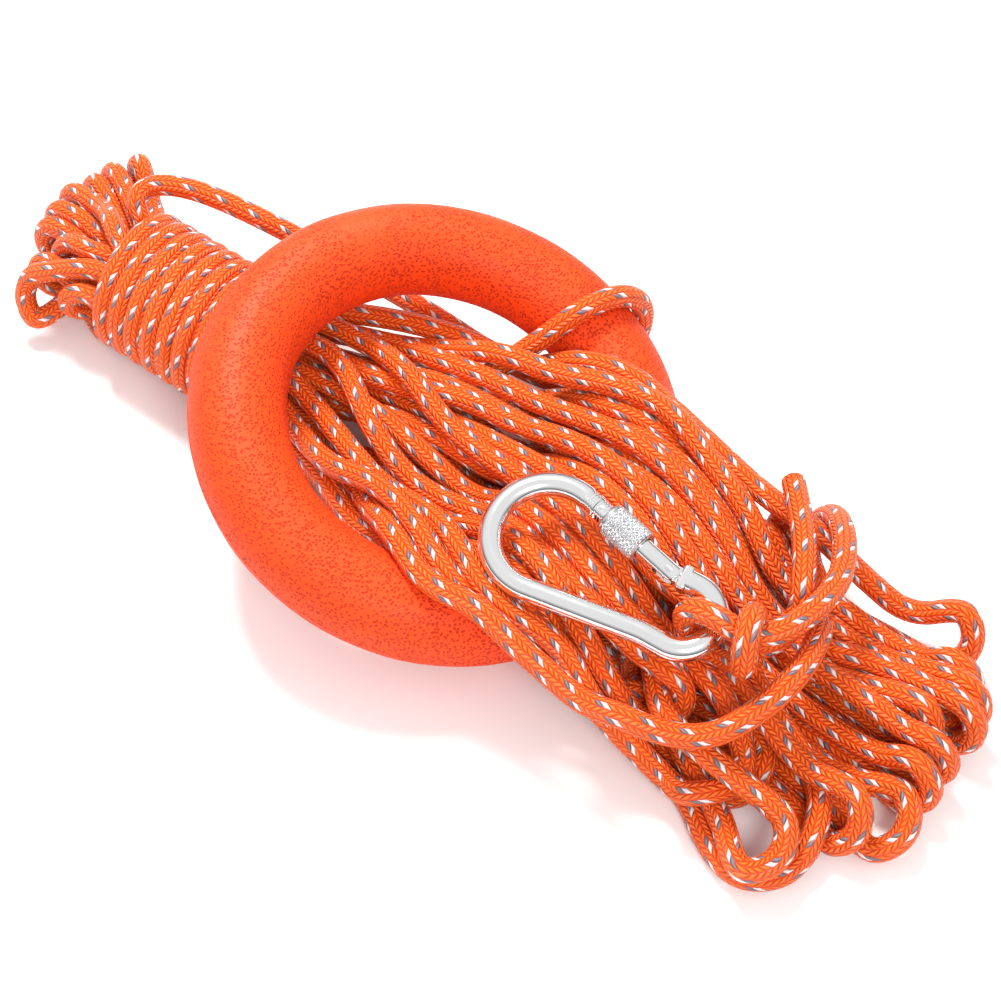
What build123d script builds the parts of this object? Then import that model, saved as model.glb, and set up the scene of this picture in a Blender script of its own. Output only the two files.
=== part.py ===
from build123d import *

import math
import os

# Small foam throw ring (ring lifebuoy) threaded on a tied hank of floating rope, with a screw-lock
# carabiner on the rope's end.  Millimetres, +Z up.  The ring leans on the hank: its +X side rests on
# the floor under the rope and its -X side lies on top of the rope.  +X runs along the hank, the
# origin is on the floor under the ring's centre.
os.makedirs("parts", exist_ok=True)

# ---------------------------------------------------------------- driving dimensions
ROPE_D = 8.0
ROPE_R = ROPE_D / 2

RING_R = 70.0            # centre line of the foam ring
RING_TUBE_R = 16.3       # its round section
RING_TILT = 19.0         # degrees about Y, -X side up
RING_CLEAR = 0.4         # free gap between foam and rope solids
PARTING_R = 0.6          # half height of the mould's parting bead
RING_CENTRE_Z = RING_TUBE_R + RING_R * math.sin(math.radians(RING_TILT))

# Carabiner, drawn in its own plane: x towards its narrow end, y towards its gate.
CARABINER_ORIGIN = (84.0, -27.0, 53.5)
CARABINER_TURN = (15.0, 4.6, 4.0)
WIRE_D = 7.8
WIDE_R = 18.2            # centre line of the wide bow
WIDE_CENTRE = Vector(-20.5, 2.5)
NARROW_R = 10.9          # centre line of the narrow bow
NARROW_CENTRE = Vector(28.1, 1.2)
GATE_LEAN = 13.9         # degrees that the gate falls towards the narrow end
SPINE_LEAN = 8.7         # degrees that the spine rises towards it
SPINE_BEND_R = 30.0

# Distances along the gate's axis, from where the wide bow ends.
NOSE_END = 4.0
HOOK_END = 8.0
GATE_START = 4.3
NOSE_SLOT_END = 8.75
NOSE_PIN_AT = 6.1
THREAD_END = 16.0
PIVOT_AT = 35.0
HEEL_AT = 32.0
HINGE_SLOT_START = 30.8
SPRING_SEAT = 14.0
SPRING_TOP = 26.9

OVERLAP = 0.5            # how far joined solids run into each other
THREAD_D = 7.2
THREAD_DEPTH = 0.35
THREAD_PITCH = 1.0
THREAD_RUNOUT = 0.5      # plain length at each end of a thread
GATE_D = 6.7
GATE_END_R = 3.35
HOOK_WIDTH = 5.4
HOOK_THICK = 2.4
NOSE_SLOT = 2.9
NOSE_PIN_D = 1.5
NOTCH_WIDTH = 2.15       # slot in the hook that takes the nose pin
NOTCH_SIDE = 6.0
NOTCH_OFFSET = -2.0
TONGUE_THICK = 3.0
HINGE_SLOT = 3.2
HEEL_HALF = 2.6
SHOULDER_CLEAR = 0.3     # gap between the shoulder and the gate's rounded end
SHOULDER_WIDTH = 8.4
SHOULDER_THICK = 6.0
SHOULDER_OVERLAP = 3.0
SHOULDER_FILLET = 1.2
RIVET_D = 2.6
RIVET_HOLE_D = 2.75
BORE_D = 3.15
PLUNGER_D = 3.0
PLUNGER_GAP = 0.05
PLUNGER_CHAMFER = 0.3
SPRING_D = 2.9
SPRING_WIRE_D = 0.4
SPRING_TURNS = 9
SPRING_GAP = 0.05
CUT_THROUGH = 20.0       # long enough to pass right through the gate
CUT_WIDE = 10.0
WIRE_STUB = 3.6          # straight wire past the narrow bow, inside the shoulder

SLEEVE_START = 8.8
SLEEVE_LENGTH = 14.8
SLEEVE_D = 11.2
SLEEVE_BORE_D = 7.36
SLEEVE_CHAMFER = 0.8

# Hank, as elliptical outlines across it: (x, y, z of the middle, width along y, height along z).
LEFT_TIPS = (-204.0, 3.0, 25.0, 46.0, 22.0)
LEFT_FAN = (-178.0, -1.0, 24.0, 84.0, 44.0)
TIE_LEFT = (-146.0, -5.0, 25.1, 42.0, 34.0)
TIE_RIGHT = (-88.0, -5.0, 25.1, 42.0, 34.0)
UNDER_RING = (-66.0, 0.0, 23.0, 54.0, 40.0)
IN_HOLE_LEFT = (-44.0, 3.0, 24.0, 66.0, 42.0)
IN_HOLE = (0.0, -6.0, 31.0, 90.0, 34.0)
BEFORE_RIGHT_TUBE = (34.0, -4.0, 40.0, 100.0, 24.0)
OVER_RING = (66.0, -2.0, 40.0, 106.0, 19.0)
PAST_RING = (92.0, -3.0, 32.0, 104.0, 27.0)
BEFORE_BIGHTS = (124.0, -5.0, 20.0, 104.0, 36.0)
RIGHT_FAN = (160.0, -9.0, 17.0, 130.0, 31.0)
RIGHT_TIPS = (206.0, -4.0, 13.0, 76.0, 18.0)

# Free stretches of the rope, as the corners of their routes, worked out for the rope's middle.
ARC_SHARE = 0.45         # part of the shorter run that each arc takes up
HITCH_ANGLE = 78.0       # degrees round the ring from +X
HITCH_GAP = 0.5
ARC_ROUTE = [
    (-147.6, 7.0, 45.8),
    (-156.5, 11.0, 48.3),
    (-159.0, 22.0, 49.0),
    (-149.5, 30.5, 48.8),
    (-132.0, 36.5, 46.8),
    (-110.0, 43.0, 40.0),
    (-89.0, 48.0, 32.0),
    (-66.0, 51.0, 25.0),
    (-44.0, 52.0, 21.0),
]
CROSSING_ROUTE = [
    (112.5, -64.5, 19.0),
    (114.5, -61.0, 31.0),
    (121.5, -55.5, 41.5),
    (133.0, -48.0, 46.8),
    (144.5, -37.0, 48.0),
    (151.0, -22.5, 47.8),
    (151.5, -8.0, 46.0),
    (146.5, 5.0, 43.5),
]
TAIL_ROUTE = [
    (132.5, -9.0, 56.5),
    (131.6, 4.5, 53.8),
    (128.5, 18.0, 51.5),
    (122.0, 31.0, 50.5),
    (112.5, 42.5, 48.5),
]
STANDING_ROUTE = [
    (141.5, -9.3, 56.0),
    (144.0, 4.0, 54.0),
    (143.5, 18.0, 51.0),
    (138.5, 31.0, 48.0),
    (131.0, 43.0, 43.0),
    (124.0, 52.0, 34.0),
    (118.0, 55.0, 22.0),
]
EYE_GAP = 0.4
KNOT_MIDDLE = (136.5, -19.0, 56.0)
KNOT_SIZE = (17.0, 19.0, 17.0)
KNOT_FILLET = 7.0


# ---------------------------------------------------------------- helpers
def heading(degrees):
    """Unit vector in the XY plane."""
    return Vector(math.cos(math.radians(degrees)), math.sin(math.radians(degrees)))


def place(solid):
    """Carry a carabiner piece from its own plane to where the carabiner lies."""
    return Location(CARABINER_ORIGIN, CARABINER_TURN) * solid


GATE_WAY = heading(-GATE_LEAN)
GATE_OUT = heading(90 - GATE_LEAN)
SPINE_WAY = heading(SPINE_LEAN)
BOW_END = WIDE_CENTRE + GATE_OUT * WIDE_R
BOW_FOOT = WIDE_CENTRE - heading(90 + SPINE_LEAN) * WIDE_R
NARROW_TOP = NARROW_CENTRE + Vector(0, NARROW_R)
NARROW_FOOT = NARROW_CENTRE - Vector(0, NARROW_R)


def gate_plane(along):
    """Plane across the gate's axis: x outward, y up off the carabiner's plane, z along the gate."""
    origin = BOW_END + GATE_WAY * along
    return Plane(origin=origin, x_dir=GATE_OUT, z_dir=GATE_WAY)


def gate_rod(diameter, start, end):
    """Round bar on the gate's axis."""
    return extrude(gate_plane(start) * Circle(diameter / 2), end - start)


def gate_block(width, thick, start, end, offset=0.0):
    """Rectangular bar on the gate's axis, moved outward by offset."""
    return extrude(gate_plane(start) * Pos(offset, 0) * Rectangle(width, thick), end - start)


def thread_grooves(start, end):
    """Ring grooves that stand for the crests and roots of the screw thread."""
    count = int((end - start) / THREAD_PITCH)
    grooves = []
    for turn in range(count):
        at = start + (turn + 0.5) * THREAD_PITCH
        ring = gate_rod(THREAD_D + OVERLAP, at - THREAD_PITCH / 4, at + THREAD_PITCH / 4)
        core = gate_rod(THREAD_D - 2 * THREAD_DEPTH, at - THREAD_PITCH, at + THREAD_PITCH)
        grooves.append(ring - core)
    return grooves


def cross_pin(diameter, along, length):
    """Pin through the gate, square to the carabiner's plane."""
    centre = BOW_END + GATE_WAY * along
    return Pos(centre.X, centre.Y, 0) * Cylinder(diameter / 2, length)


def hank(*outlines):
    """Closed solid through elliptical outlines across the hank."""
    faces = []
    for x, y, z, width, height in outlines:
        plane = Plane(origin=(x, y, z), x_dir=(0, 1, 0), z_dir=(1, 0, 0))
        faces.append(plane * Ellipse(width / 2, height / 2))
    return loft(faces)


def foam_torus(tube_r):
    """The ring's torus as it leans, with the given section radius."""
    lean = Location((0, 0, RING_CENTRE_Z), (0, RING_TILT, 0))
    return lean * Torus(RING_R, tube_r)


def rope_tube(name, route):
    """Rope along straight runs joined by tangent arcs, each as large as its runs allow."""
    points = [Vector(*point) for point in route]
    runs = [b - a for a, b in zip(points, points[1:])]
    radii = []
    for before, after in zip(runs, runs[1:]):
        half_turn = math.radians(before.get_angle(after) / 2)
        radii.append(ARC_SHARE * min(before.length, after.length) / math.tan(half_turn))
    path = FilletPolyline(*points, radius=radii)
    start = Plane(origin=points[0], z_dir=runs[0])
    tube = sweep(start * Circle(ROPE_R), path=path)
    ideal = math.pi * ROPE_R**2 * path.length
    print(f"{name}: radii {[round(r) for r in radii]}, volume ratio {tube.volume / ideal:.4f}")
    return tube


# ---------------------------------------------------------------- foam ring
def float_ring():
    """Closed-cell foam ring with the fine bead where the mould halves meet."""
    lean = Location((0, 0, RING_CENTRE_Z), (0, RING_TILT, 0))
    bead = lean * Torus(RING_R + RING_TUBE_R - PARTING_R / 2, PARTING_R)
    return foam_torus(RING_TUBE_R) + bead


# ---------------------------------------------------------------- carabiner
def wire_path():
    """Centre line of the bent wire, from the gate's nose round to the gate's hinge."""
    bend = BOW_FOOT + SPINE_WAY * ((NARROW_FOOT.Y - BOW_FOOT.Y) / SPINE_WAY.Y)
    pivot = BOW_END + GATE_WAY * PIVOT_AT
    wire_end = NARROW_TOP + (pivot - NARROW_TOP).normalized() * WIRE_STUB
    wide = ThreePointArc(BOW_END, WIDE_CENTRE - heading(0) * WIDE_R, BOW_FOOT)
    spine = FilletPolyline(BOW_FOOT, bend, NARROW_FOOT, radius=SPINE_BEND_R)
    narrow = ThreePointArc(NARROW_FOOT, NARROW_CENTRE + heading(0) * NARROW_R, NARROW_TOP)
    return wide + spine + narrow + Line(NARROW_TOP, wire_end)


def hinge_plane():
    """Plane at the pivot, x along the hinge tongue away from the gate."""
    pivot = BOW_END + GATE_WAY * PIVOT_AT
    return Plane(origin=pivot, x_dir=NARROW_TOP - pivot, z_dir=(0, 0, 1))


def carabiner_body():
    """Bent wire with a turned nose and hook at one end and a pressed hinge tongue at the other."""
    path = wire_path()
    section = Plane(origin=BOW_END, x_dir=GATE_OUT, z_dir=GATE_WAY * -1) * Circle(WIRE_D / 2)
    wire = sweep(section, path=path)

    nose = gate_rod(THREAD_D, -OVERLAP, NOSE_END)
    for groove in thread_grooves(THREAD_RUNOUT, NOSE_END - THREAD_RUNOUT):
        nose -= groove
    hook = gate_block(HOOK_WIDTH, HOOK_THICK, NOSE_END - OVERLAP, HOOK_END)
    notch_start = NOSE_PIN_AT - NOTCH_WIDTH / 2
    notch_end = notch_start + NOTCH_WIDTH
    hook -= gate_block(NOTCH_SIDE, NOTCH_SIDE, notch_start, notch_end, offset=NOTCH_OFFSET)

    hinge = hinge_plane()
    shoulder_start = GATE_END_R + SHOULDER_CLEAR
    shoulder_end = (NARROW_TOP - hinge.origin).length - SHOULDER_OVERLAP
    shoulder_length = shoulder_end - shoulder_start
    shoulder = fillet(Box(shoulder_length, SHOULDER_WIDTH, SHOULDER_THICK).edges(), SHOULDER_FILLET)
    shoulder = hinge * Pos((shoulder_start + shoulder_end) / 2, 0, 0) * shoulder
    tongue_length = shoulder_start + 4 * OVERLAP
    tongue = hinge * Pos(shoulder_start / 2, 0, 0) * Box(tongue_length, 2 * HEEL_HALF, TONGUE_THICK)
    heel = gate_block(2 * HEEL_HALF, TONGUE_THICK, HEEL_AT, PIVOT_AT + OVERLAP)
    body = wire + nose + hook + shoulder + tongue + heel
    return body - cross_pin(RIVET_HOLE_D, PIVOT_AT, CUT_THROUGH)


def carabiner_gate():
    """Gate bar: threaded and slotted at its nose, bored for the spring, forked and rounded at its hinge."""
    gate = gate_rod(THREAD_D, GATE_START, THREAD_END)
    for groove in thread_grooves(GATE_START + THREAD_RUNOUT, THREAD_END - THREAD_RUNOUT):
        gate -= groove
    rounded_end = cross_pin(2 * GATE_END_R, PIVOT_AT, GATE_D)
    bar = gate_rod(GATE_D, THREAD_END - OVERLAP, PIVOT_AT)
    gate += bar + (rounded_end & gate_rod(GATE_D, PIVOT_AT - GATE_D, PIVOT_AT + GATE_D))
    gate -= gate_block(CUT_WIDE, NOSE_SLOT, GATE_START - OVERLAP, NOSE_SLOT_END)
    gate -= gate_block(CUT_WIDE, HINGE_SLOT, HINGE_SLOT_START, PIVOT_AT + GATE_D)
    gate -= gate_rod(BORE_D, SPRING_SEAT, HINGE_SLOT_START + OVERLAP)
    gate -= cross_pin(NOSE_PIN_D, NOSE_PIN_AT, CUT_THROUGH)
    return gate - cross_pin(RIVET_D, PIVOT_AT, CUT_THROUGH)


def flush_pin(diameter, along, bar_d):
    """Cross pin whose ends are finished flush with the round bar."""
    return cross_pin(diameter, along, CUT_THROUGH) & gate_rod(bar_d, along - diameter, along + diameter)


def gate_plunger():
    """Round-nosed follower that the spring holds against the hinge tongue's heel."""
    plunger = gate_rod(PLUNGER_D, SPRING_TOP, HEEL_AT - PLUNGER_GAP)
    return chamfer(plunger.edges().sort_by(Axis(BOW_END, GATE_WAY))[0], PLUNGER_CHAMFER)


def gate_spring():
    """Compression spring behind the plunger."""
    height = SPRING_TOP - SPRING_SEAT - 2 * SPRING_GAP - SPRING_WIRE_D
    radius = (SPRING_D - SPRING_WIRE_D) / 2
    helix = Helix(pitch=height / SPRING_TURNS, height=height, radius=radius)
    coil = sweep(Plane(origin=helix @ 0, z_dir=helix % 0) * Circle(SPRING_WIRE_D / 2), path=helix)
    return gate_plane(SPRING_SEAT + SPRING_GAP + SPRING_WIRE_D / 2).location * coil


def lock_sleeve():
    """Screw sleeve: bored tube with chamfered ends."""
    outside = gate_rod(SLEEVE_D, SLEEVE_START, SLEEVE_START + SLEEVE_LENGTH)
    outside = chamfer(outside.edges().filter_by(GeomType.CIRCLE), SLEEVE_CHAMFER)
    bore_end = SLEEVE_START + SLEEVE_LENGTH + OVERLAP
    return outside - gate_rod(SLEEVE_BORE_D, SLEEVE_START - OVERLAP, bore_end)


# ---------------------------------------------------------------- rope
def rope_wraps():
    """The tie: turns of rope wound round the hank, as one sleeve."""
    x, y, z, width, height = TIE_LEFT
    plane = Plane(origin=(x, y, z), x_dir=(0, 1, 0), z_dir=(1, 0, 0))
    outside = Ellipse(width / 2 + ROPE_D, height / 2 + ROPE_D)
    return extrude(plane * (outside - Ellipse(width / 2, height / 2)), TIE_RIGHT[0] - TIE_LEFT[0])


def rope_hitch():
    """Round turn of the rope's inner end about the foam ring."""
    turn = math.radians(HITCH_ANGLE)
    along = Vector(-math.sin(turn), math.cos(turn), 0)
    across = Plane(origin=(RING_R * math.cos(turn), RING_R * math.sin(turn), 0), z_dir=along)
    lean = Location((0, 0, RING_CENTRE_Z), (0, RING_TILT, 0))
    return lean * (across * Torus(RING_TUBE_R + ROPE_R + HITCH_GAP, ROPE_R))


def rope_eye():
    """Eye of the rope round the carabiner's narrow bow."""
    across = Plane(origin=NARROW_CENTRE + Vector(NARROW_R, 0), z_dir=(0, 1, 0))
    return place(across * Torus(WIRE_D / 2 + ROPE_R + EYE_GAP, ROPE_R))


def rope_knot():
    """Outer shape of the knot that closes the eye."""
    return Pos(*KNOT_MIDDLE) * fillet(Box(*KNOT_SIZE).edges(), KNOT_FILLET)


clearance = foam_torus(RING_TUBE_R + RING_CLEAR)
nodes = {
    "float_ring": float_ring(),
    "carabiner_body": place(carabiner_body()),
    "carabiner_gate": place(carabiner_gate()),
    "gate_hinge_rivet": place(flush_pin(RIVET_D, PIVOT_AT, GATE_D)),
    "gate_nose_pin": place(flush_pin(NOSE_PIN_D, NOSE_PIN_AT, THREAD_D)),
    "gate_plunger": place(gate_plunger()),
    "gate_spring": place(gate_spring()),
    "lock_sleeve": place(lock_sleeve()),
    "rope_left_bights": hank(LEFT_TIPS, LEFT_FAN, TIE_LEFT),
    "rope_tied_neck": hank(TIE_LEFT, TIE_RIGHT),
    "rope_wraps": rope_wraps(),
    "rope_under_ring": hank(TIE_RIGHT, UNDER_RING, IN_HOLE_LEFT) - clearance,
    "rope_in_hole": hank(IN_HOLE_LEFT, IN_HOLE, BEFORE_RIGHT_TUBE) - clearance,
    "rope_over_ring": hank(BEFORE_RIGHT_TUBE, OVER_RING, PAST_RING) - clearance,
    "rope_spread": hank(PAST_RING, BEFORE_BIGHTS),
    "rope_right_bights": hank(BEFORE_BIGHTS, RIGHT_FAN, RIGHT_TIPS),
    "rope_hitch": rope_hitch(),
    "rope_arc": rope_tube("rope_arc", ARC_ROUTE),
    "rope_crossing": rope_tube("rope_crossing", CROSSING_ROUTE),
    "rope_standing": rope_tube("rope_standing", STANDING_ROUTE),
    "rope_eye": rope_eye(),
    "rope_knot": rope_knot(),
    "rope_tail": rope_tube("rope_tail", TAIL_ROUTE),
}

for name, solid in nodes.items():
    export_step(solid, f"parts/{name}.step")
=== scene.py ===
import math

import bpy
import numpy as np
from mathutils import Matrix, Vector, kdtree, noise
from mathutils.bvhtree import BVHTree


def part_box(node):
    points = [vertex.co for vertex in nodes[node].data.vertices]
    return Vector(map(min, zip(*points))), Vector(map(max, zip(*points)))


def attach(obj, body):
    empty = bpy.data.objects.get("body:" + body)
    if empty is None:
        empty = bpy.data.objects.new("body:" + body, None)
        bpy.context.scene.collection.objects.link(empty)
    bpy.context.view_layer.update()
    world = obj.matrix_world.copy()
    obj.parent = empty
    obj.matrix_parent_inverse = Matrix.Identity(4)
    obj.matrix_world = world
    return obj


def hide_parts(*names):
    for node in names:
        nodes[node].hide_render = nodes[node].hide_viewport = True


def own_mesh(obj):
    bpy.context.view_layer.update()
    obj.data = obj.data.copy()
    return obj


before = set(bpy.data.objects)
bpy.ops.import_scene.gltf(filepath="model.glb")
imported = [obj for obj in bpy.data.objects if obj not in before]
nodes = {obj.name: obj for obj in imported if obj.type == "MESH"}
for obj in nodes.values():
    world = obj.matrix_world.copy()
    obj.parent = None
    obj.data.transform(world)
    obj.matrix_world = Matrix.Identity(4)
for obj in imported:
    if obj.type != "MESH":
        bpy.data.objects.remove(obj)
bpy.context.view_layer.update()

MM = 0.001

# ---------------------------------------------------------------- camera
VIEW_TARGET = Vector((0.0265, -0.0024, 0.020))
VIEW_DISTANCE = 0.5975
VIEW_AZIMUTH = math.radians(37.4)
VIEW_ELEVATION = math.radians(52.8)
LENS = 62.54
SENSOR = 36.0


def add_camera():
    """A camera above the near side, looking down on the hank."""
    back = Vector((
        math.sin(VIEW_AZIMUTH) * math.cos(VIEW_ELEVATION),
        -math.cos(VIEW_AZIMUTH) * math.cos(VIEW_ELEVATION),
        math.sin(VIEW_ELEVATION),
    ))
    data = bpy.data.cameras.new("camera")
    data.lens = LENS
    data.sensor_width = SENSOR
    data.clip_start = 0.01
    camera = bpy.data.objects.new("camera", data)
    camera.location = VIEW_TARGET + back * VIEW_DISTANCE
    camera.rotation_euler = back.to_track_quat("Z", "Y").to_euler()
    bpy.context.scene.collection.objects.link(camera)
    bpy.context.scene.camera = camera


# ---------------------------------------------------------------- sizes shared with the CAD, in mm
ROPE_D = 8.0
ROPE_R = ROPE_D / 2
RING_R = 70.0
RING_TUBE_R = 16.3
RING_TILT = math.radians(19.0)
RING_CENTRE = np.array((0.0, 0.0, RING_TUBE_R + RING_R * math.sin(RING_TILT)))
RING_OUT = np.array((math.cos(RING_TILT), 0.0, -math.sin(RING_TILT)))
RING_SIDE = np.array((0.0, 1.0, 0.0))
RING_AXIS = np.array((math.sin(RING_TILT), 0.0, math.cos(RING_TILT)))

# ---------------------------------------------------------------- rope: free stretches, in metres
HITCH_START = 85.0       # degrees round the ring where the hitch begins, and how far it leans
HITCH_LEAN = 15.0
HITCH_GAP = 0.0008
STUB = [(-0.008, 0.028, 0.03), (-0.003, 0.036, 0.034), (0.001, 0.0435, 0.0385)]
UNDER_FAR_TUBE = [(0.013, 0.066, 0.0065), (-0.002, 0.06, 0.007), (-0.022, 0.056, 0.011)]
ARC_ROUTE = [
    (-0.044, 0.051, 0.021),
    (-0.066, 0.048, 0.025),
    (-0.089, 0.043, 0.0325),
    (-0.11, 0.037, 0.04),
    (-0.132, 0.03, 0.0468),
    (-0.1465, 0.0245, 0.0488),
    (-0.155, 0.0175, 0.049),
    (-0.1545, 0.01, 0.0475),
    (-0.15, 0.0075, 0.0415),
]
INTO_NECK = [(-0.1445, 0.006, 0.0345), (-0.135, 0.0055, 0.033)]
CROSSING_ROUTE = [
    (0.1135, -0.0575, 0.0405),
    (0.1235, -0.054, 0.0375),
    (0.133, -0.049, 0.036),
    (0.14, -0.044, 0.0385),
    (0.145, -0.037, 0.0425),
    (0.1485, -0.028, 0.0455),
    (0.15, -0.018, 0.047),
    (0.1495, -0.008, 0.0465),
    (0.1465, 0.005, 0.0435),
]
FAR_SIDE_LOOP = [
    (0.141, 0.018, 0.041),
    (0.134, 0.031, 0.037),
    (0.125, 0.043, 0.03),
    (0.115, 0.052, 0.02),
    (0.104, 0.057, 0.011),
    (0.093, 0.059, 0.005),
    (0.084, 0.062, 0.0045),
    (0.081, 0.068, 0.0045),
    (0.087, 0.073, 0.0045),
    (0.097, 0.072, 0.005),
    (0.107, 0.067, 0.008),
    (0.114, 0.06, 0.014),
]
STANDING_ROUTE = [
    (0.118, 0.055, 0.022),
    (0.124, 0.052, 0.034),
    (0.131, 0.043, 0.043),
    (0.1385, 0.031, 0.048),
    (0.1435, 0.018, 0.051),
    (0.144, 0.004, 0.054),
    (0.1415, -0.0093, 0.056),
]
EYE_AND_KNOT = [
    (0.1375, -0.017, 0.0565),
    (0.131, -0.0215, 0.058),
    (0.1235, -0.023, 0.0615),
    (0.1158, -0.023, 0.0595),
    (0.1122, -0.0225, 0.052),
    (0.1148, -0.022, 0.044),
    (0.1215, -0.022, 0.041),
    (0.1295, -0.0225, 0.044),
    (0.1345, -0.0245, 0.0475),
    (0.137, -0.0275, 0.052),
    (0.1365, -0.0275, 0.0585),
    (0.1345, -0.024, 0.0635),
    (0.1325, -0.0185, 0.0645),
    (0.131, -0.0128, 0.0585),
    (0.1305, -0.0122, 0.0495),
    (0.1315, -0.0135, 0.0425),
    (0.1355, -0.0095, 0.0395),
    (0.1385, -0.002, 0.0415),
    (0.1385, 0.005, 0.0465),
]
TAIL_ROUTE = [
    (0.135, 0.01, 0.052),
    (0.1295, 0.02, 0.0525),
    (0.122, 0.031, 0.0505),
    (0.1105, 0.045, 0.048),
]

# ---------------------------------------------------------------- rope: the hank, in mm
# Each strand between the ring's left tube and the right bights: its y at these x.
STATIONS = (-60, -40, -20, 0, 20, 40, 60, 80, 100)
TOP_HEIGHTS = (38, 42, 42, 42, 43, 44.5, 45, 43, 38)
LAYER = 7.6
STRANDS = {
    "a": ((20, 35, 44, 50, 53, 54, 52, 47, 43), (2, 2, 2)),
    "b": ((15, 29, 33, 36, 43, 46, 44, 40, 37), (1, 2, 2)),
    "c": ((12, 18, 24, 31, 37, 38, 37, 33, 30), (0, 1, 2)),
    "d": ((17, 25, 26, 29, 30, 31, 30, 26, 22), (2, 2, 2)),
    "e": ((6, 12, 15, 21, 24, 25, 24, 19, 15), (1, 1, 2)),
    "f": ((2, 3, 6, 14, 17, 19, 18, 14, 8), (2, 2, 2)),
    "g": ((-2, 2, 5, 9, 12, 14, 10, 3, -3), (0, 1, 2)),
    "h": ((5, 8, 9, 10, 7, 5, 0, -6, -10), (1, 1, 2)),
    "i": ((10, 15, 10, 4, 0, -4, -8, -13, -18), (2, 2, 2)),
    "j": ((-10, -6, -7, -9, -10, -12, -16, -20, -26), (2, 2, 2)),
    "k": ((12, 0, -16, -22, -21, -21, -23, -27, -32), (3, 2, 2)),
    "l": ((-14, -20, -26, -29, -32, -33, -36, -40, -44), (1, 1, 2)),
    "m": ((-8, -16, -27, -37, -41, -45, -50, -54, -57), (2, 2, 2)),
    "n": ((-18, -31, -38, -46, -50, -54, -55, -55, -56), (2, 2, 1)),
    "o": ((-20, -30, -40, -48, -52, -55, -57, -59, -60), (1, 1, 0)),
    "p": ((-22, -24, -30, -36, -38, -42, -46, -50, -54), (0, 0, 0)),
    "q": ((8, 22, 30, 38, 44, 46, 45, 42, 40), (0, 1, 0)),
    "r": ((0, 8, 14, 20, 26, 30, 30, 27, 24), (0, 0, 0)),
    "s": ((-4, -2, 0, -1, 0, 4, 9, 10, 8), (0, 1, 0)),
    "t": ((-12, -12, -10, -9, -10, -10, -6, -7, -8), (0, 0, 0)),
}
# Round folds at the right: outgoing strand, returning strand, and the tips between them, each with
# its x, y, height of its middle and its lean in degrees; after a tip the rope folds back at an inner x.
FOLD_R = 10.8
FOLD_SWELL = 1.04        # a spline passes inside its points, so they stand a little further out
FOLD_ROOT_X = 122
INNER_ROOT_X = 100
ROOT_HEIGHTS = (34, 24, 9)   # first leg out, leg out after an inner fold, leg back
RIGHT_FOLDS = [
    ("a", "q", [(191, 47, 15, 25), (203, 34, 16, 10)], 84),
    ("b", "c", [(209, 26, 16, 0)], None),
    ("d", "r", [(213, 17, 15.5, 0), (197, 10, 17, 25)], -26),
    ("e", "s", [(216, 5, 15.5, 0)], None),
    ("f", "p", [(211, -8, 16, 10), (206, -24, 13, 70)], -20),
    ("g", "t", [(195, -33, 15, 25), (180, -57, 13, 60)], 84),
]
# The near bights, which lie flatter and wider, each with its outgoing and its returning strand.
RIGHT_BIGHTS = [
    ("l", [(114, -44, 26), (128, -48, 19), (139, -48, 16), (144, -41, 17), (143, -33, 21),
           (134, -29, 27), (118, -31, 34)], "k"),
    ("o", [(112, -56, 8), (130, -55, 4), (146, -56, 4), (160, -47, 5), (167, -37, 8), (162, -27, 13),
           (151, -22, 19), (138, -19, 25), (120, -18, 32)], "i"),
    ("m", [(116, -54, 22), (131, -57, 14), (143, -62, 10), (155, -63, 9), (164, -56, 11),
           (165, -45, 15), (157, -36, 21), (147, -31, 27), (134, -28, 32), (118, -26, 36)], "j"),
    ("n", [(112, -59, 14), (127, -59, 8), (142, -68, 4), (154, -72, 4), (166, -69, 4), (175, -58, 5),
           (180, -44, 8), (177, -32, 14), (169, -24, 22), (152, -18, 29), (134, -12, 34),
           (118, -10, 37)], "h"),
]
# Round folds at the left: x and y of the tip, height of its middle, y at the neck, lean in degrees.
LEFT_FOLDS = [
    (-203, 44, 18, 15, 0),
    (-206, 33, 18, 12, 0),
    (-208, 23, 17, 9, 10),
    (-208, 13, 20, 5, 0),
    (-207, 3, 18, 1, -10),
    (-204, -8, 17, -3, 0),
    (-197, -22, 19, -7, 35),
    (-184, -31, 21, -10, 50),
    (-171, -35, 17, -13, 52),
]
LEFT_ROOT_X = -153
LEFT_RISE = 9
NECK_CENTRE = (-5.0, 25.1)
NECK_HALF = (21.0, 17.0)
NECK_LEFT = -146.0
NECK_RIGHT = -88.0
NECK_COLUMNS = ((16.0, 2), (9.6, 4), (3.2, 4), (-3.2, 4), (-9.6, 4), (-16.0, 2))
NECK_ROW = 7.2
LAST_BIGHT = [(-155, -8, 27), (-168, -10, 28), (-179, -11, 22), (-181, -11, 12), (-172, -10, 5),
              (-160, -9, 4.2), (-149, -13, 4.5)]
WRAP_TURNS = 7.0
WRAP_START = -143.5
WRAP_END = -88.5
WRAP_LEAN = 5.0
WRAP_POINTS = 14
OUT_OF_TIE = [
    (-81, -31, 19),
    (-68, -30, 22),
    (-52, -29, 20),
    (-35, -31, 22),
    (-18, -36, 28),
    (0, -43, 36),
    (20, -50, 41),
    (38, -55, 42),
    (56, -58, 41.5),
    (74, -58.5, 41.5),
    (88, -57, 43),
    (102, -58, 42),
]


def in_mm(route):
    """A route's points, given in metres, in the hank's millimetres."""
    return [tuple(c / MM for c in point) for point in route]


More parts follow.
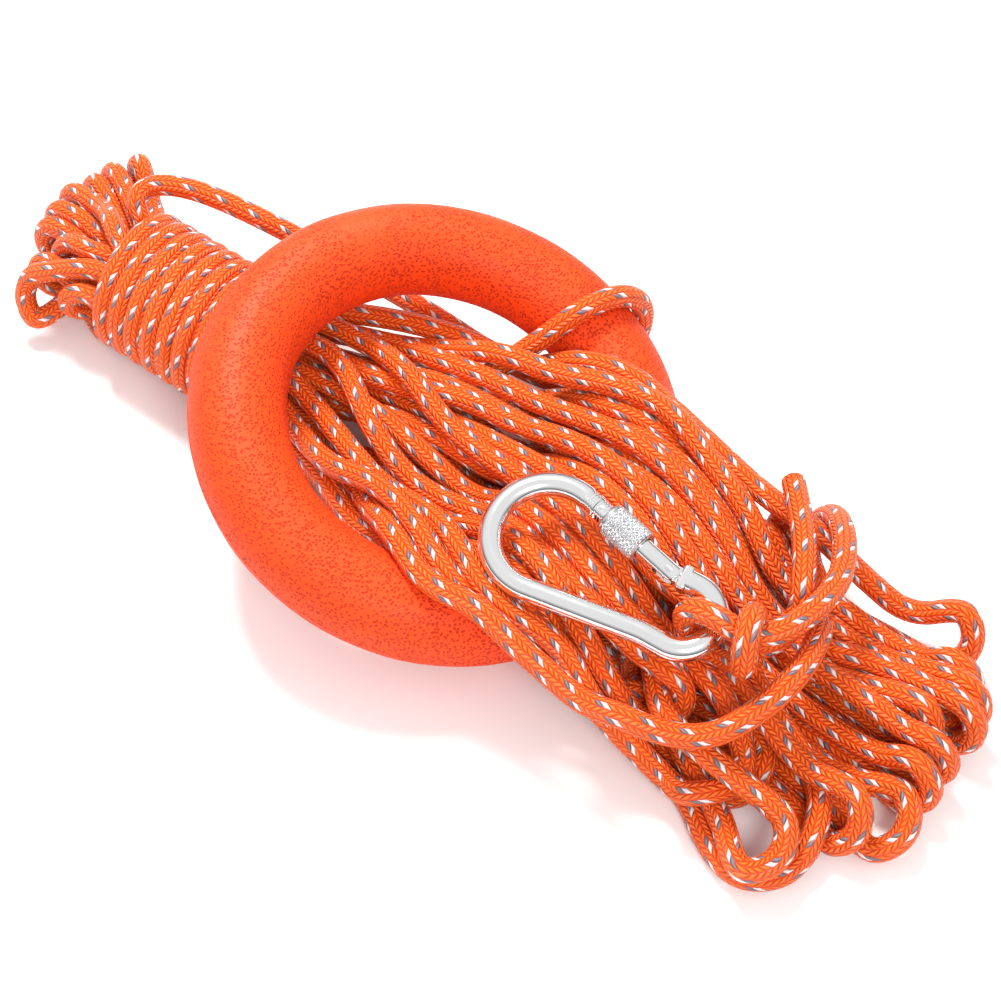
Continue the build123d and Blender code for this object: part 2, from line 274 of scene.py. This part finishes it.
def on_ring(angle, turn, radius):
    """Point beside the ring's tube, turn degrees round it from its outer side over its top."""
    a, t = math.radians(angle), math.radians(turn)
    out = math.cos(a) * RING_OUT + math.sin(a) * RING_SIDE
    return RING_CENTRE + out * (RING_R + radius * math.cos(t)) + RING_AXIS * radius * math.sin(t)


def hitch_points():
    """The rope's turn over the ring, from inside its hole over the top to below its outside."""
    reach = RING_TUBE_R + ROPE_R + HITCH_GAP / MM
    return [on_ring(HITCH_START - HITCH_LEAN * k / 7, 160 - 32 * k, reach) for k in range(8)]


def height_at(x, layer):
    """Height of a strand's middle at x; layer 2 is the top one."""
    return float(np.interp(x, STATIONS, TOP_HEIGHTS)) - (2 - layer) * LAYER


def neck_slots():
    """Places across the neck for the strands, in the order that they lie at the ring's left tube."""
    order = sorted(STRANDS, key=lambda name: -STRANDS[name][0][1])
    slots = {}
    for offset, count in NECK_COLUMNS:
        column, order = order[:count], order[count:]
        column.sort(key=lambda name: STRANDS[name][1][0])
        for row, name in enumerate(column):
            height = (row - (count - 1) / 2) * NECK_ROW
            slots[name] = (NECK_CENTRE[0] + offset, NECK_CENTRE[1] + height)
    return slots


def strand_points(name, slot):
    """One strand from the neck's left end to the right bights."""
    sides, layers = STRANDS[name]
    neck = [(x, *slot) for x in np.linspace(NECK_LEFT + 4, NECK_RIGHT - 2, 5)]
    run = []
    for number, (x, y) in enumerate(zip(STATIONS, sides)):
        run.append((x, y, height_at(x, layers[number // 3])))
    return neck + run


def fold_points(start, tip, end, first, lean):
    """A leg to a round fold, the fold and a leg back. first is 1 where the upper leg comes first."""
    start, tip, end = (np.array(p, float) for p in (start, tip, end))
    side = 1.0 if tip[0] > start[0] else -1.0
    centre = tip - (side * FOLD_R, 0, 0)
    tilt = math.radians(lean)
    bend = []
    for degrees in (90, 52, 18, -18, -52, -90):
        turn = math.radians(degrees) * first
        rise = FOLD_R * math.sin(turn) * FOLD_SWELL
        reach = FOLD_R * math.cos(turn) * FOLD_SWELL
        bend.append(centre + (side * reach, rise * math.sin(tilt), rise * math.cos(tilt)))
    legs = max(round(abs(centre[0] - start[0]) / 20), 1)
    shares = np.arange(legs) / legs
    out = [start + (bend[0] - start) * share for share in shares]
    back = [bend[-1] + (end - bend[-1]) * (share + 1 / legs) for share in shares]
    return out + bend + back


def right_turns(tips, inner):
    """The rope's way past one tip, or past two with a fold back between them."""
    points = []
    first_height, next_height, back_height = ROOT_HEIGHTS
    root = (FOLD_ROOT_X, tips[0][1] * 0.8, first_height)
    for number, (x, y, middle, lean) in enumerate(tips):
        end = (FOLD_ROOT_X, y * 0.8, back_height)
        points.extend(fold_points(root, (x, y, middle), end, 1, lean))
        if number + 1 < len(tips):
            root = (FOLD_ROOT_X, tips[number + 1][1] * 0.8, next_height)
            low, high = (INNER_ROOT_X, y * 0.75, 12), (INNER_ROOT_X, y * 0.7, 30)
            points.extend(fold_points(low, (inner, y * 0.6, 21), high, -1, 30))
    return points


def wrap_points():
    """The turns of the tie round the neck."""
    points = []
    steps = round(WRAP_TURNS * WRAP_POINTS)
    for step in range(steps + 1):
        share = step / steps
        turn = -math.radians(140) - 2 * math.pi * WRAP_TURNS * share
        y = (NECK_HALF[0] + ROPE_R) * math.cos(turn)
        z = (NECK_HALF[1] + ROPE_R) * math.sin(turn)
        x = WRAP_START + (WRAP_END - WRAP_START) * share - WRAP_LEAN * y / NECK_HALF[0]
        points.append((x, NECK_CENTRE[0] + y, NECK_CENTRE[1] + z))
    return points


def rope_route():
    """All control points of the rope, and which of them may settle."""
    slots = neck_slots()
    points, free = [], []

    def add(stretch, settles):
        points.extend(tuple(float(c) for c in p) for p in stretch)
        free.extend([settles] * len(stretch))

    add(in_mm(STUB), False)
    add(hitch_points(), False)
    add(in_mm(UNDER_FAR_TUBE), False)
    add(in_mm(ARC_ROUTE), False)
    add(in_mm(INTO_NECK), False)
    turns = [(out, right_turns(tips, inner), back) for out, back, tips, inner in RIGHT_FOLDS]
    turns.extend(RIGHT_BIGHTS)
    for number, (out, bight, back) in enumerate(turns):
        outgoing = strand_points(out, slots[out])
        add(outgoing if number else outgoing[2:], True)
        add(bight, True)
        add(strand_points(back, slots[back])[::-1], True)
        if number < len(LEFT_FOLDS):
            x, y, middle, neck_y, lean = LEFT_FOLDS[number]
            low = (LEFT_ROOT_X, neck_y, middle - LEFT_RISE)
            high = (LEFT_ROOT_X, neck_y - 3, middle + LEFT_RISE)
            add(fold_points(low, (x, y, middle), high, -1, lean), True)
    add(LAST_BIGHT, True)
    add(wrap_points(), False)
    add(OUT_OF_TIE, True)
    add(in_mm(CROSSING_ROUTE), False)
    add(in_mm(FAR_SIDE_LOOP), True)
    add(in_mm(STANDING_ROUTE), False)
    add(in_mm(EYE_AND_KNOT), False)
    add(in_mm(TAIL_ROUTE), False)
    return np.array(points), np.array(free)


# ---------------------------------------------------------------- rope: settling the hank
SAMPLES = 5
ROUNDS = 520
CONTACT = 8.05
NECK_CONTACT = 7.2
BEND_R = 11.5
HOLD = 0.03
SINK = 0.012
# Bounds of the hank's upper face: x, lowest y, highest y, height of the rope's middle.
OUTLINE = np.array((
    (-212, -24, 48, 38),
    (-165, -50, 44, 42),
    (-146, -40, 22, 42),
    (-140, -30, 18, 42),
    (-88, -30, 18, 42),
    (-60, -36, 25, 44),
    (-41, -38, 36, 45),
    (9, -60, 49, 46),
    (32, -59, 52, 47),
    (58, -56, 52, 47),
    (81, -60, 48, 45),
    (98, -61, 48, 42),
    (116, -64, 46, 40),
    (141, -69, 52, 34),
    (154, -79, 54, 30),
    (170, -84, 56, 28),
    (182, -80, 56, 26),
    (212, -44, 50, 22),
), float)
NEAR_SLOPE = 0.55        # how far the near side leans in below its upper edge
RING_GAP = 0.3
STEEL_GAP = 1.1          # room kept between the rope and the carabiner while the hank settles
# Where the rope can touch the carabiner: lowest and highest x, y and z.
STEEL_ROOM = ((34, 134), (-58, 6), (34, 200))
STEEL_REACH = 12.0


def near_pairs(samples):
    """Pairs of samples that may touch and aren't neighbours along the rope."""
    tree = kdtree.KDTree(len(samples))
    for number, place in enumerate(samples):
        tree.insert(place, number)
    tree.balance()
    pairs = []
    for number, place in enumerate(samples):
        for _, other, _ in tree.find_range(place, CONTACT + 3.0):
            if other > number + 6:
                pairs.append((number, other))
    return np.array(pairs)


def steel_surface():
    """The carabiner's surface, for finding what the rope touches."""
    vertices, faces = [], []
    for name in ("carabiner_body", "carabiner_gate", "lock_sleeve"):
        mesh = nodes[name].data
        first = len(vertices)
        vertices.extend(v.co / MM for v in mesh.vertices)
        faces.extend([first + i for i in p.vertices] for p in mesh.polygons)
    return BVHTree.FromPolygons(vertices, faces)


def clear_of_steel(samples, tree):
    """How far each sample has to move to lie beside the carabiner."""
    moves = np.zeros_like(samples)
    low, high = np.array(STEEL_ROOM).T
    near = ((samples > low) & (samples < high)).all(1)
    for number in np.flatnonzero(near):
        place = Vector(samples[number])
        hit, normal, _, distance = tree.find_nearest(place, STEEL_REACH)
        if hit is None:
            continue
        away = place - hit
        outside = away.dot(normal) >= 0
        reach = ROPE_R + STEEL_GAP
        if outside and distance < reach:
            moves[number] = away.normalized() * (reach - distance)
        elif not outside:
            moves[number] = normal * (reach + distance)
    return moves


def clear_of_ring(samples):
    """How far each sample has to move to lie beside the foam ring."""
    offset = samples - RING_CENTRE
    height = offset @ RING_AXIS
    flat = offset - height[:, None] * RING_AXIS
    radius = np.linalg.norm(flat, axis=1)
    core = flat / radius[:, None] * RING_R
    away = offset - core
    distance = np.linalg.norm(away, axis=1)
    short = np.maximum(RING_TUBE_R + ROPE_R + RING_GAP - distance, 0)
    return away / distance[:, None] * short[:, None]


def inside_outline(samples):
    """How far each sample has to move to be on the floor and within the hank's outline."""
    x, y, z = samples.T
    low, high, top = (np.interp(x, OUTLINE[:, 0], OUTLINE[:, k]) for k in (1, 2, 3))
    moves = np.zeros_like(samples)
    low = low + np.interp(x, (-60, -20), (0, NEAR_SLOPE)) * np.clip(top - z, 0, 30)
    moves[:, 1] = np.clip(y, low, np.maximum(high, low)) - y
    moves[:, 2] = np.clip(z, ROPE_R + 0.1, np.maximum(top, ROPE_R + 1)) - z
    moves[:, 0] = np.clip(x, OUTLINE[0, 0] + 4, OUTLINE[-1, 0] - 4) - x
    return moves


def settle(points, free):
    """Moves the free points until strands lie beside each other, and widens bends sharper than BEND_R."""
    points = points.copy()
    home = points.copy()
    count = len(points)
    t = (np.arange(SAMPLES) + 0.5) / SAMPLES
    curve = np.stack((0.5 * (1 - t) ** 2, 0.5 + t * (1 - t), 0.5 * t * t), 1)
    owners = np.repeat(np.arange(1, count - 1)[:, None] + np.array((-1, 0, 1)), SAMPLES, axis=0)
    shares = np.tile(curve, (count - 2, 1))
    mobile = (shares * free[owners]).sum(1)
    tree = steel_surface()
    total = len(shares)
    for step in range(ROUNDS):
        samples = np.einsum("sk,skc->sc", shares, points[owners])
        if step % 8 == 0:
            a, b = near_pairs(samples).T
            weight = mobile[a] + mobile[b]
            alive = weight > 0
            a, b, weight = a[alive], b[alive], weight[alive]
        gap = samples[b] - samples[a]
        distance = np.linalg.norm(gap, axis=1) + 1e-6
        x = samples[a, 0]
        limit = np.where((x > NECK_LEFT - 6) & (x < NECK_RIGHT + 6), NECK_CONTACT, CONTACT)
        over = np.maximum(limit - distance, 0)
        push = gap / distance[:, None] * (over / weight)[:, None]
        touching = (over > 0).astype(float)
        hits = np.bincount(a, touching, total) + np.bincount(b, touching, total)
        move = np.stack([
            np.bincount(b, push[:, c] * mobile[b], total) - np.bincount(a, push[:, c] * mobile[a], total)
            for c in range(3)
        ], 1)
        move *= 1.3 / np.maximum(hits, 1.0)[:, None] ** 0.6
        move += clear_of_ring(samples) + inside_outline(samples)
        if step % 3 == 0 or step > ROUNDS - 30:
            steel = clear_of_steel(samples, tree)
        move += steel
        active = (np.abs(move).sum(1) > 1e-4).astype(float)
        move[:, 2] -= SINK
        pull = np.zeros((count, 3))
        spread = np.full(count, 0.35)
        for k in range(3):
            spread += np.bincount(owners[:, k], shares[:, k] * active, count)
            for c in range(3):
                pull[:, c] += np.bincount(owners[:, k], shares[:, k] * move[:, c], count)
        delta = pull / spread[:, None]
        first = (points[2:] - points[:-2]) / 2
        second = points[2:] + points[:-2] - 2 * points[1:-1]
        along = (second * first).sum(1) / (first * first).sum(1)
        across = np.linalg.norm(second - along[:, None] * first, axis=1) + 1e-6
        radius = (first * first).sum(1) / across
        ease = 0.003 + 0.55 * np.clip(1 - radius / BEND_R, 0, 1)
        delta[1:-1] += second * ease[:, None] / 2
        delta += (home - points) * (HOLD if step < ROUNDS * 0.8 else 0)
        size = np.linalg.norm(delta, axis=1)
        delta *= np.minimum(1, 1.2 / (size + 1e-9))[:, None]
        points += delta * free[:, None]
        points[free, 2] = np.maximum(points[free, 2], ROPE_R + 0.15)
    return points


# ---------------------------------------------------------------- rope: its line and its tube
ROPE_SIDES = 14
LINE_STEPS = 8


def spline_line(points):
    """The rope's centre line, read from one smooth spline through its route."""
    curve = bpy.data.curves.new("rope_line", "CURVE")
    curve.dimensions = "3D"
    curve.resolution_u = LINE_STEPS
    spline = curve.splines.new("NURBS")
    spline.points.add(len(points) - 1)
    for point, place in zip(spline.points, points):
        point.co = (*place, 1.0)
    spline.order_u = 3
    spline.use_endpoint_u = True
    holder = bpy.data.objects.new("rope_line", curve)
    bpy.context.scene.collection.objects.link(holder)
    bpy.context.view_layer.update()
    mesh = bpy.data.meshes.new_from_object(holder)
    line = np.array([v.co for v in mesh.vertices], float)
    bpy.data.objects.remove(holder)
    bpy.data.curves.remove(curve)
    bpy.data.meshes.remove(mesh)
    return line


def frames_along(line):
    """Two directions across the line at each point, which don't twist along it."""
    along = np.gradient(line, axis=0)
    along /= np.linalg.norm(along, axis=1)[:, None]
    side = np.cross(along[0], (0, 0, 1.0))
    sides = []
    for direction in along:
        side = side - direction * side.dot(direction)
        side /= np.linalg.norm(side)
        sides.append(side)
    sides = np.array(sides)
    return sides, np.cross(along, sides)


def grid_mesh(name, rings, sides, uv=None):
    """A smooth closed band of quads from rings of points, with flat ends where it has them."""
    rows, columns = rings.shape[:2]
    mesh = bpy.data.meshes.new(name)
    faces = []
    for row in range(rows - 1):
        for column in range(columns):
            right = (column + 1) % columns
            a, b = row * columns, (row + 1) * columns
            faces.append((a + column, a + right, b + right, b + column))
    for ring in sides:
        first = ring * columns
        loop = list(range(first, first + columns))
        faces.append(loop if ring else loop[::-1])
    mesh.from_pydata(rings.reshape(-1, 3).tolist(), [], faces)
    mesh.polygons.foreach_set("use_smooth", [len(face) == 4 for face in faces])
    if uv is not None:
        layer = mesh.uv_layers.new(name="rope")
        for row in range(rows - 1):
            for column in range(columns):
                u = (uv[row], uv[row], uv[row + 1], uv[row + 1])
                v = (column, column + 1, column + 1, column)
                start = 4 * (row * columns + column)
                for k in range(4):
                    layer.data[start + k].uv = (u[k], v[k] / columns)
    mesh.validate()
    piece = bpy.data.objects.new(name, mesh)
    bpy.context.scene.collection.objects.link(piece)
    return piece


def make_rope():
    """The rope as one tube, with its centre line and its length."""
    points, free = rope_route()
    points = settle(points, free)
    line = spline_line(points * MM)
    sides, ups = frames_along(line)
    turn = np.linspace(0, 2 * math.pi, ROPE_SIDES, endpoint=False)
    circle = (np.cos(turn)[None, :, None] * sides[:, None] + np.sin(turn)[None, :, None] * ups[:, None])
    rings = line[:, None] + circle * ROPE_R * MM
    steps = np.linalg.norm(np.diff(line, axis=0), axis=1)
    reach = np.concatenate(((0.0,), np.cumsum(steps)))
    rope = grid_mesh("rope", rings, (0, len(line) - 1), reach)
    return rope, line, reach[-1]


# ---------------------------------------------------------------- materials
class Graph:
    """Short names for the shader nodes of one material."""

    def __init__(self, name):
        self.material = bpy.data.materials.new(name)
        self.material.use_nodes = True
        self.tree = self.material.node_tree
        self.shader = self.tree.nodes["Principled BSDF"]

    def node(self, kind, **values):
        made = self.tree.nodes.new(kind)
        for key, value in values.items():
            setattr(made, key, value)
        return made

    def put(self, socket, value):
        if isinstance(value, bpy.types.NodeSocket):
            self.tree.links.new(value, socket)
        else:
            socket.default_value = value

    def math(self, operation, *values):
        made = self.node("ShaderNodeMath", operation=operation)
        for socket, value in zip(made.inputs, values):
            self.put(socket, value)
        return made.outputs[0]

    def mix(self, share, a, b):
        made = self.node("ShaderNodeMix", data_type="RGBA")
        self.put(made.inputs[0], share)
        self.put(made.inputs[6], a)
        self.put(made.inputs[7], b)
        return made.outputs[2]

    def remap(self, value, low, high, start=0.0, end=1.0):
        made = self.node("ShaderNodeMapRange")
        for socket, given in zip(made.inputs, (value, low, high, start, end)):
            self.put(socket, given)
        return made.outputs[0]

    def noise(self, scale, detail=3.0):
        made = self.node("ShaderNodeTexNoise")
        self.put(made.inputs["Vector"], self.place())
        made.inputs["Scale"].default_value = scale
        made.inputs["Detail"].default_value = detail
        return made.outputs[0]

    def place(self):
        return self.node("ShaderNodeTexCoord").outputs["Object"]

    def bump(self, height, distance, strength=1.0):
        made = self.node("ShaderNodeBump")
        made.inputs["Strength"].default_value = strength
        made.inputs["Distance"].default_value = distance
        self.put(made.inputs["Height"], height)
        self.put(self.shader.inputs["Normal"], made.outputs[0])

    def set(self, **values):
        for key, value in values.items():
            self.put(self.shader.inputs[key.replace("_", " ")], value)


ROPE_ORANGE = (1.0, 0.175, 0.014, 1.0)
# Darker orange, used for random fibre tone and as painted shade in the crevices between stitches.
ROPE_DEEP_TONE_AND_CREVICE_SHADE = (0.96, 0.055, 0.005, 1.0)
TRACER_WHITE = (0.86, 0.84, 0.82, 1.0)
TRACER_GREY = (0.22, 0.19, 0.21, 1.0)
BRAID_LAY = 0.026
CARRIERS = 12


def rope_material():
    """Braid of 12 carriers each way, each over two and under two, with tracers in it and painted shade in
    the crevices between stitches.
    """
    g = Graph("rope")
    uv = g.node("ShaderNodeUVMap", uv_map="rope")
    split = g.node("ShaderNodeSeparateXYZ")
    g.put(split.inputs[0], uv.outputs[0])
    along = g.math("MULTIPLY", split.outputs[0], CARRIERS / BRAID_LAY)
    round_it = g.math("MULTIPLY", split.outputs[1], float(CARRIERS))
    right = g.math("SUBTRACT", round_it, along)
    left = g.math("ADD", round_it, along)
    column = g.math("MULTIPLY", split.outputs[1], 2.0 * CARRIERS)
    on_top = g.math("LESS_THAN", g.math("FRACT", g.math("DIVIDE", column, 4.0)), 0.5)
    across_right = g.math("FRACT", right)
    across_left = g.math("FRACT", left)
    chosen = g.math("ADD", g.math("MULTIPLY", across_right, on_top),
                    g.math("MULTIPLY", across_left, g.math("SUBTRACT", 1.0, on_top)))
    centred = g.math("ABSOLUTE", g.math("SUBTRACT", g.math("MULTIPLY", chosen, 2.0), 1.0))
    crown = g.math("SUBTRACT", 1.0, g.math("POWER", centred, 2.4))
    edge = g.math("ABSOLUTE", g.math("SUBTRACT", g.math("MULTIPLY",
                  g.math("FRACT", g.math("DIVIDE", column, 2.0)), 2.0), 1.0))
    length_crown = g.math("SUBTRACT", 1.0, g.math("POWER", edge, 3.0))
    height = g.math("MULTIPLY", crown, length_crown)
    carrier = g.math("FLOORED_MODULO", g.math("FLOOR", right), 6.0)
    marked = g.math("MULTIPLY", on_top, g.math("LESS_THAN", carrier, 1.5))
    grey = g.math("GREATER_THAN", g.math("FLOORED_MODULO", carrier, 2.0), 0.5)
    fibre = g.noise(2600.0, 2.0)
    # Painted shade: colour darkens from the stitch crowns into the crevices between them; the fibre noise
    # below adds random darker tone.
    shaded_orange = g.mix(g.remap(height, 0.0, 0.75), ROPE_DEEP_TONE_AND_CREVICE_SHADE, ROPE_ORANGE)
    shaded_orange = g.mix(g.remap(fibre, 0.35, 0.75, 0.0, 0.30), shaded_orange, ROPE_DEEP_TONE_AND_CREVICE_SHADE)
    tracer = g.mix(grey, TRACER_WHITE, TRACER_GREY)
    shown = g.math("MULTIPLY", marked, g.remap(crown, 0.12, 0.25))
    shown = g.math("MULTIPLY", shown, g.remap(edge, 0.80, 0.92, 1.0, 0.0))
    g.set(Base_Color=g.mix(shown, shaded_orange, tracer), Roughness=g.remap(fibre, 0.3, 0.7, 0.34, 0.52))
    g.shader.inputs["Specular IOR Level"].default_value = 0.4
    relief = g.math("ADD", height, g.math("MULTIPLY", fibre, 0.25))
    g.bump(relief, 0.0008)
    return g.material


FOAM_ORANGE = (0.96, 0.074, 0.004, 1.0)
# Darker orange, used for random tone of the foam and as painted shade inside the pits.
FOAM_DEEP_TONE_AND_PIT_SHADE = (0.74, 0.030, 0.002, 1.0)


def foam_material():
    """Closed-cell foam skin: soft sheen, with patches of open pits whose insides carry painted shade."""
    g = Graph("foam")
    patches = g.remap(g.noise(26.0, 2.0), 0.30, 0.46, 0.2, 1.0)
    pits = g.node("ShaderNodeTexVoronoi")
    g.put(pits.inputs["Vector"], g.place())
    pits.inputs["Scale"].default_value = 900.0
    pits.inputs["Randomness"].default_value = 0.75
    hole = g.remap(pits.outputs["Distance"], 0.20, 0.42)
    grain = g.noise(900.0, 3.0)
    pitted = g.math("SUBTRACT", 1.0, g.math("MULTIPLY", patches, g.math("SUBTRACT", 1.0, hole)))
    height = g.math("ADD", pitted, g.math("MULTIPLY", grain, 0.35))
    colour = g.mix(g.math("MULTIPLY", g.noise(60.0, 2.0), 0.35), FOAM_ORANGE, FOAM_DEEP_TONE_AND_PIT_SHADE)
    # Painted shade: the pits take the darker orange.
    g.set(Base_Color=g.mix(pitted, FOAM_DEEP_TONE_AND_PIT_SHADE, colour), Roughness=g.remap(patches, 0.0, 1.0, 0.42, 0.62))
    g.shader.inputs["Specular IOR Level"].default_value = 0.3
    g.shader.inputs["Coat Weight"].default_value = 0.05
    g.shader.inputs["Coat Roughness"].default_value = 0.35
    g.bump(height, 0.0006, 0.9)
    return g.material


def steel_material(name, base, roughness, scratch=0.000003):
    """Polished steel with fine rubbing marks."""
    g = Graph(name)
    marks = g.noise(1400.0, 4.0)
    smudge = g.noise(90.0, 3.0)
    g.set(Base_Color=g.mix(smudge, base, tuple(0.9 * c for c in base[:3]) + (1.0,)),
          Roughness=g.remap(smudge, 0.3, 0.7, roughness * 0.8, roughness * 1.35))
    g.shader.inputs["Metallic"].default_value = 1.0
    g.bump(marks, scratch)
    return g.material


def floor_material():
    """Matt white, with faint uneven patches."""
    g = Graph("floor")
    g.set(Base_Color=g.mix(g.noise(6.0, 2.0), (0.93, 0.93, 0.93, 1.0), (0.95, 0.95, 0.95, 1.0)))
    g.shader.inputs["Roughness"].default_value = 0.8
    return g.material


# ---------------------------------------------------------------- foam ring
RING_STEPS = 320
RING_SIDES = 112
BEAD = 0.35              # height of the mould line round the ring
BEAD_WIDTH = math.radians(2.6)
WAVINESS = 0.22


def make_ring():
    """The foam ring, with its mould line and slight waviness."""
    turns = np.linspace(0, 2 * math.pi, RING_SIDES, endpoint=False)
    rings = np.zeros((RING_STEPS + 1, RING_SIDES, 3))
    for step in range(RING_STEPS):
        angle = 2 * math.pi * step / RING_STEPS
        out = math.cos(angle) * RING_OUT + math.sin(angle) * RING_SIDE
        for side, turn in enumerate(turns):
            normal = out * math.cos(turn) + RING_AXIS * math.sin(turn)
            place = RING_CENTRE + out * RING_R + normal * RING_TUBE_R
            wave = noise.noise(Vector(place / 22.0))
            around = (turn + math.pi) % (2 * math.pi) - math.pi
            bead = BEAD * math.exp(-(around / BEAD_WIDTH) ** 2)
            rings[step, side] = place + normal * (WAVINESS * (wave - 0.5) + bead)
    rings[RING_STEPS] = rings[0]
    ring = grid_mesh("foam_ring", rings * MM, ())
    weld = ring.modifiers.new("weld", "WELD")
    weld.merge_threshold = 0.00001
    return ring


# ---------------------------------------------------------------- lock sleeve
SLEEVE_R = 5.6
SLEEVE_BORE_R = 3.68
SLEEVE_LENGTH = 14.8
GROOVE = 1.3             # the turned line on the plain collar at the sleeve's front
KNURL_START = 2.1
KNURL_TEETH = 20
KNURL_DEPTH = 0.55
KNURL_PITCH = 1.75
SLEEVE_SIDES = 260
PIN_TO_SLEEVE = 10.1     # along the gate, from its nose pin to the middle of the sleeve


def wave_of(value):
    """A triangular wave from 0 to 1."""
    return 1 - np.abs(2 * (value - np.floor(value)) - 1)


def box_middle(name):
    """Middle of a CAD node's box, in metres."""
    low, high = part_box(name)
    return np.array((low + high) / 2)


def sleeve_frame():
    """The sleeve's middle and its axis, which points from the nose pin to the hinge rivet."""
    pin = box_middle("gate_nose_pin")
    axis = box_middle("gate_hinge_rivet") - pin
    axis /= np.linalg.norm(axis)
    return pin + axis * PIN_TO_SLEEVE * MM, axis


def make_sleeve():
    """Screw sleeve: turned collar with a line, diamond knurling, bored through."""
    middle, axis = sleeve_frame()
    across = np.cross(axis, (0, 0, 1.0))
    across /= np.linalg.norm(across)
    third = np.cross(axis, across)
    turn = np.linspace(0, 2 * math.pi, SLEEVE_SIDES, endpoint=False)
    profile = [(0.0, SLEEVE_BORE_R), (0.0, SLEEVE_R - 0.9), (0.35, SLEEVE_R - 0.45), (0.8, SLEEVE_R - 0.2)]
    profile += [(GROOVE, SLEEVE_R - 0.2), (GROOVE + 0.12, SLEEVE_R - 0.5),
                (GROOVE + 0.36, SLEEVE_R - 0.5), (GROOVE + 0.48, SLEEVE_R - 0.2)]
    profile += [(x, SLEEVE_R) for x in np.linspace(KNURL_START, SLEEVE_LENGTH - 0.9, 64)]
    profile += [(SLEEVE_LENGTH - 0.4, SLEEVE_R - 0.5), (SLEEVE_LENGTH, SLEEVE_R - 0.9),
                (SLEEVE_LENGTH, SLEEVE_BORE_R), (0.0, SLEEVE_BORE_R)]
    rings = []
    for along, radius in profile:
        knurled = radius == SLEEVE_R
        teeth = KNURL_TEETH * turn / (2 * math.pi)
        crown = np.minimum(wave_of(teeth + along / KNURL_PITCH), wave_of(teeth - along / KNURL_PITCH))
        depth = KNURL_DEPTH * (1 - np.minimum(crown * 1.5, 1)) if knurled else 0 * turn
        spoke = np.cos(turn)[:, None] * across + np.sin(turn)[:, None] * third
        centre = middle + axis * (along - SLEEVE_LENGTH / 2) * MM
        rings.append(centre + spoke * ((radius - depth) * MM)[:, None])
    sleeve = grid_mesh("knurled_sleeve", np.array(rings), ())
    sleeve.data.polygons.foreach_set("use_smooth", [False] * len(sleeve.data.polygons))
    weld = sleeve.modifiers.new("weld", "WELD")
    weld.merge_threshold = 0.000001
    return sleeve


def make_spring():
    """The gate's spring: its own copy of the CAD spring's mesh, carried by the gate."""
    spring = bpy.data.objects.new("coil_spring", nodes["gate_spring"].data.copy())
    bpy.context.scene.collection.objects.link(spring)
    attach(spring, "gate")
    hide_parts("gate_spring")
    middle, axis = sleeve_frame()
    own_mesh(spring)
    return spring


# ---------------------------------------------------------------- stage and light
def make_stage():
    """Floor and a surround of soft white light."""
    mesh = bpy.data.meshes.new("floor")
    reach = 6.0
    mesh.from_pydata([(-reach, -reach, 0), (reach, -reach, 0), (reach, reach, 0), (-reach, reach, 0)],
                     [], [(0, 1, 2, 3)])
    floor = bpy.data.objects.new("floor", mesh)
    bpy.context.scene.collection.objects.link(floor)
    floor.data.materials.append(floor_material())
    world = bpy.data.worlds.new("surround")
    world.use_nodes = True
    tree = world.node_tree
    split = tree.nodes.new("ShaderNodeSeparateXYZ")
    ramp = tree.nodes.new("ShaderNodeValToRGB")
    ramp.color_ramp.elements[0].position = 0.05
    ramp.color_ramp.elements[0].color = (0.10, 0.10, 0.11, 1.0)
    ramp.color_ramp.elements[1].position = 0.55
    ramp.color_ramp.elements[1].color = (1.0, 1.0, 1.0, 1.0)
    tree.links.new(tree.nodes.new("ShaderNodeTexCoord").outputs["Generated"], split.inputs[0])
    tree.links.new(split.outputs[2], ramp.inputs[0])
    tree.links.new(ramp.outputs[0], tree.nodes["Background"].inputs[0])
    tree.nodes["Background"].inputs[1].default_value = 0.85
    bpy.context.scene.world = world
    for name, place, size, power in (
        ("key", (-0.50, 0.30, 1.1), 0.30, 18.0),
        ("fill", (0.7, -0.6, 0.9), 0.4, 7.0),
    ):
        data = bpy.data.lights.new(name, "AREA")
        data.size = size
        data.energy = power
        lamp = bpy.data.objects.new(name, data)
        lamp.location = place
        lamp.rotation_euler = Vector(place).to_track_quat("Z", "Y").to_euler()
        bpy.context.scene.collection.objects.link(lamp)
    bpy.context.scene.view_settings.view_transform = "Standard"


# ---------------------------------------------------------------- assembly
ROPE_NODES = [name for name in nodes if name.startswith("rope_")]

add_camera()
make_stage()

ring = make_ring()
ring.data.materials.append(foam_material())
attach(ring, "ring_and_rope")
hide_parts("float_ring")

polished = steel_material("polished_steel", (0.95, 0.95, 0.95, 1.0), 0.11)
finishes = {
    "carabiner_body": polished,
    "carabiner_gate": polished,
    "gate_hinge_rivet": steel_material("rivet_steel", (0.70, 0.70, 0.71, 1.0), 0.28),
    "gate_nose_pin": steel_material("pin_steel", (0.70, 0.70, 0.71, 1.0), 0.28),
    "gate_plunger": steel_material("plunger_steel", (0.70, 0.70, 0.71, 1.0), 0.25),
    "gate_spring": steel_material("spring_steel", (0.55, 0.55, 0.56, 1.0), 0.22),
}
for name, finish in finishes.items():
    nodes[name].data.materials.clear()
    nodes[name].data.materials.append(finish)

spring = make_spring()
spring.data.materials.clear()
spring.data.materials.append(finishes.pop("gate_spring"))

sleeve = make_sleeve()
sleeve.data.materials.append(steel_material("knurled_steel", (0.72, 0.72, 0.73, 1.0), 0.30))
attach(sleeve, "sleeve")
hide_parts("lock_sleeve")

rope, line, length = make_rope()
rope.data.materials.append(rope_material())
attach(rope, "ring_and_rope")
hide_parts(*ROPE_NODES)
